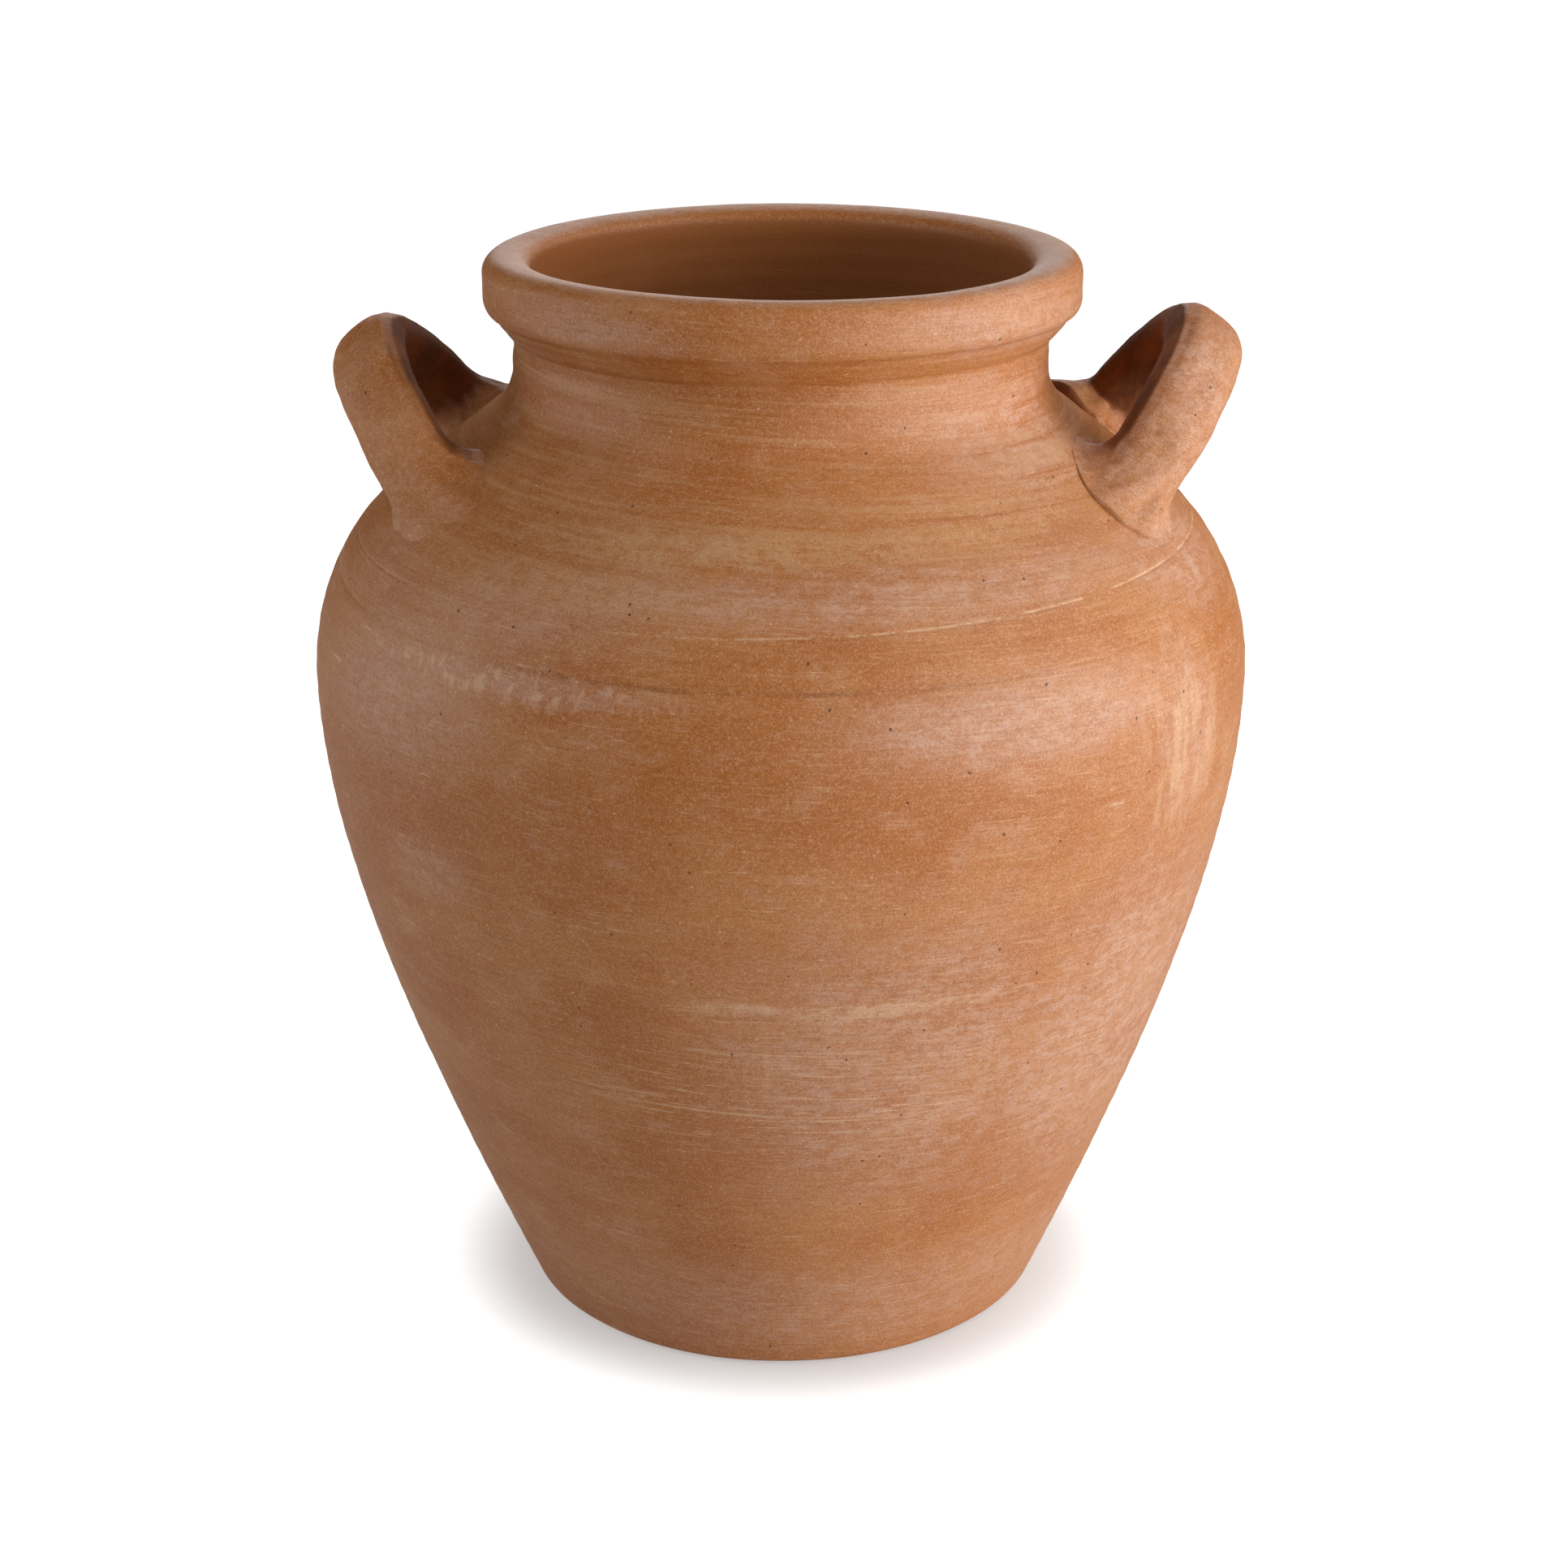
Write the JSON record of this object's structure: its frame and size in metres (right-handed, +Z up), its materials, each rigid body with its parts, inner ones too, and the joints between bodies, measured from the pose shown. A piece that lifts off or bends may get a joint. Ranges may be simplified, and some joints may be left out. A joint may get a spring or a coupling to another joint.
{
  "type": "amphora",
  "caption": "Wide-mouthed terracotta jar with a swelling body, a thick banded rim and two loop handles standing on the shoulder.",
  "frame": {"origin": "centre of the flat underside", "axes": "+Z up along the jar's own axis, out of the mouth; the two handles stand on the -X and +X sides, and -Y is the front"},
  "size_m": [0.3468, 0.3468, 0.4],
  "materials": {
    "body_clay": "matt fired terracotta with pale bloom",
    "rim_clay": "matt fired terracotta, wiped smooth",
    "handle_clay": "matt fired terracotta, hand pulled"
  },
  "bodies": {
    "root": {"base_floor": "body_clay", "lower_wall": "body_clay", "shoulder_wall": "body_clay", "neck_collar": "body_clay", "rim_ring": "rim_clay", "left_handle": "handle_clay", "right_handle": "handle_clay", "left_front_root_pad": "handle_clay", "left_back_root_pad": "handle_clay", "right_front_root_pad": "handle_clay", "right_back_root_pad": "handle_clay"}
  },
  "joints": []
}
